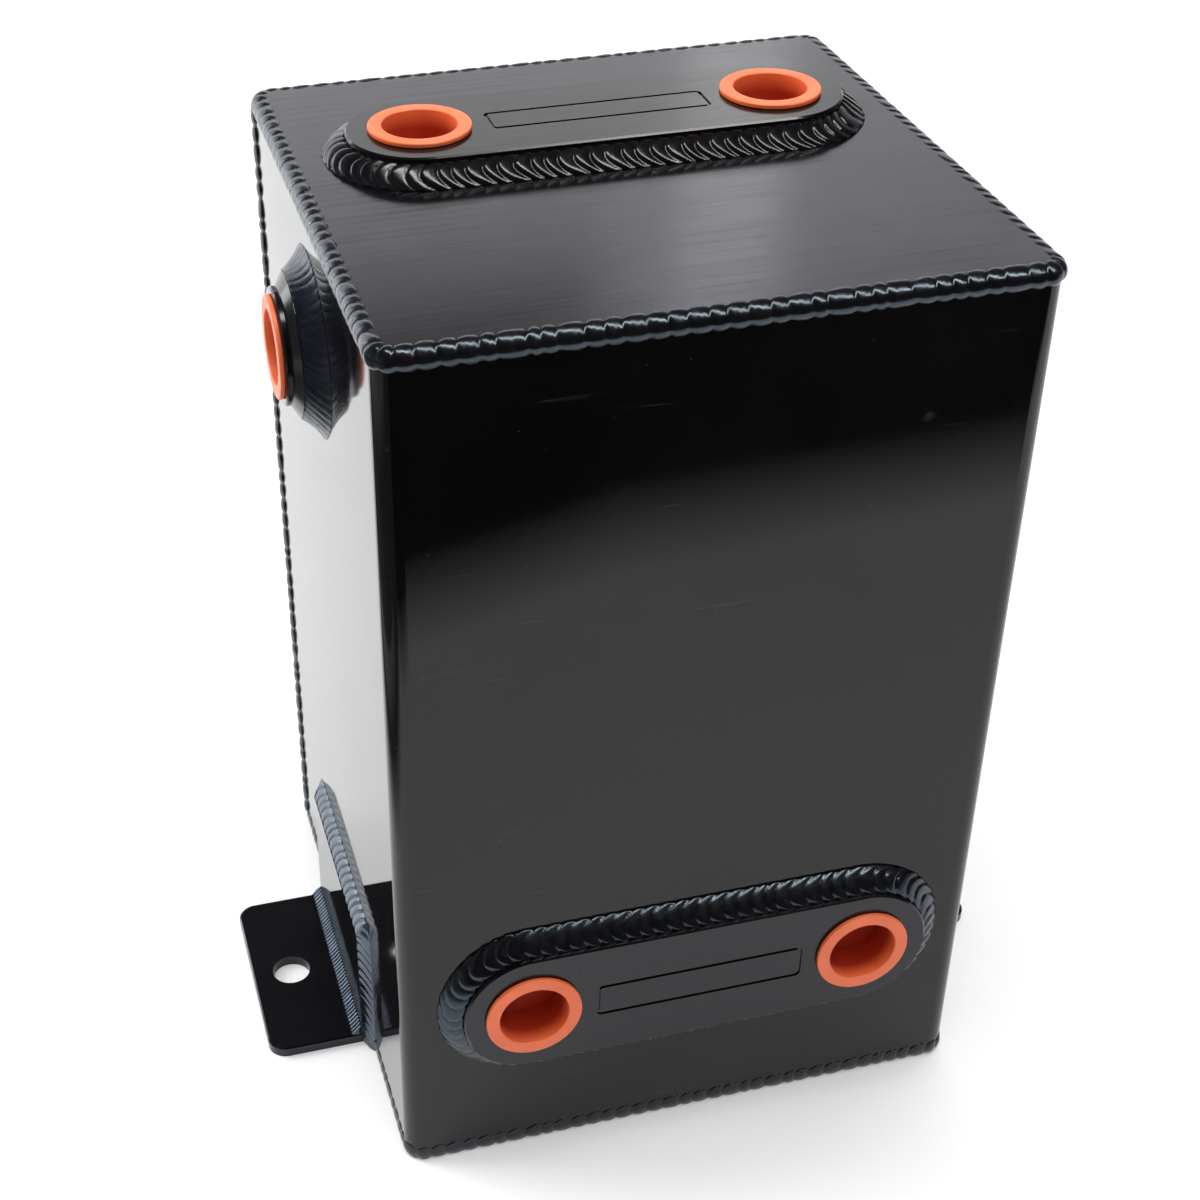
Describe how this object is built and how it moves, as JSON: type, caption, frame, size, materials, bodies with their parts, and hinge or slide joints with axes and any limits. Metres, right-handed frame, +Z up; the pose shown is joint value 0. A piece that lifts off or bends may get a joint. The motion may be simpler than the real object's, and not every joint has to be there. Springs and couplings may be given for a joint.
{
  "type": "hydraulic reservoir",
  "caption": "Welded upright box tank with round-ended port plates on top and front, a side boss, push-in port plugs and bolt-down side feet.",
  "frame": {"origin": "centre of the bottom plate's underside, level with the undersides of the feet", "axes": "+Z up; -Y out of the front, the face with the two low ports; +X to the right seen from the front"},
  "size_m": [0.2064, 0.1537, 0.2429],
  "materials": {
    "black_sheet": "gloss",
    "black_billet": "satin",
    "black_weld": "gloss",
    "bare_aluminium": "satin",
    "plug_orange": "satin"
  },
  "bodies": {
    "tank": {"body_wrap": "black_sheet", "back_panel": "black_sheet", "top_plate": "black_sheet", "bottom_plate": "black_sheet", "baffle_plate": "bare_aluminium", "return_tube": "bare_aluminium", "top_port_plate": "black_billet", "front_port_plate": "black_billet", "side_port_bung": "black_billet", "left_foot_plate": "black_sheet", "right_foot_plate": "black_sheet", "left_upright": "black_sheet", "right_upright": "black_sheet", "weld_top_seam": "black_weld", "weld_bottom_seam": "black_weld", "weld_back_left": "black_weld", "weld_back_right": "black_weld", "weld_top_port": "black_weld", "weld_front_port": "black_weld", "weld_side_port": "black_weld", "weld_left_upright": "black_weld", "weld_left_foot": "black_weld", "weld_right_upright": "black_weld", "weld_right_foot": "black_weld", "weld_baffle": "bare_aluminium", "weld_return_tube": "bare_aluminium"},
    "cap_top_left_body": {"cap_top_left": "plug_orange"},
    "cap_top_right_body": {"cap_top_right": "plug_orange"},
    "cap_front_left_body": {"cap_front_left": "plug_orange"},
    "cap_front_right_body": {"cap_front_right": "plug_orange"},
    "cap_side_body": {"cap_side": "plug_orange"}
  },
  "joints": [
    {"name": "cap_top_left_pull", "type": "slide", "parent": "tank", "child": "cap_top_left_body", "axis": [0, 0, 1], "range_m": [0, 0.05]},
    {"name": "cap_top_right_pull", "type": "slide", "parent": "tank", "child": "cap_top_right_body", "axis": [0, 0, 1], "range_m": [0, 0.05]},
    {"name": "cap_front_left_pull", "type": "slide", "parent": "tank", "child": "cap_front_left_body", "axis": [0, -1, 0], "range_m": [0, 0.05]},
    {"name": "cap_front_right_pull", "type": "slide", "parent": "tank", "child": "cap_front_right_body", "axis": [0, -1, 0], "range_m": [0, 0.05]},
    {"name": "cap_side_pull", "type": "slide", "parent": "tank", "child": "cap_side_body", "axis": [-1, 0, 0], "range_m": [0, 0.05]}
  ]
}
